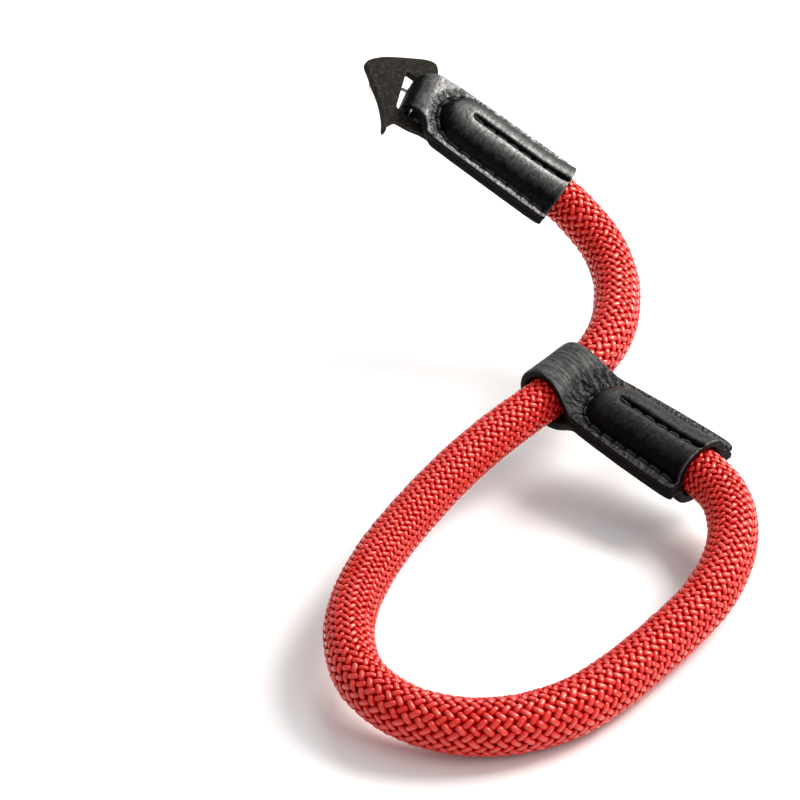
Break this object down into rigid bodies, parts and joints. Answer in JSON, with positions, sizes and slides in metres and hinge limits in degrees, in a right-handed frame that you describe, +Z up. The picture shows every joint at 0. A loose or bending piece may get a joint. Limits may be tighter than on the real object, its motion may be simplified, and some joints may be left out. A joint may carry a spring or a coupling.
{
  "type": "camera wrist strap",
  "caption": "Wrist strap for a camera: a braided rope loop sewn into folded leather tabs, with a sliding eye that closes the loop, a metal ring and a suede guard flap.",
  "frame": {"origin": "Where the strap hangs: the inside of the ring's far end, where it bears on a camera's strap lug.", "axes": "+Z is up. -Y runs from the lug toward the viewer of the picture, where the loop lies, and +X is the picture's right. The strap hangs from the lug and its loop lies about 54 mm below it."},
  "size_m": [0.0773, 0.1661, 0.0598],
  "materials": {
    "black_leather": "smooth black leather with a satin sheen, cut edges, black stitching",
    "dark_suede": "matte brown-black suede",
    "ring_steel": "plain bright wire",
    "red_rope": "glossy red braided cord"
  },
  "bodies": {
    "root": {"guard_flap": "dark_suede", "lug_ring": "ring_steel", "camera_tab": "black_leather", "rope": "red_rope", "slider_tab": "black_leather"}
  },
  "joints": []
}
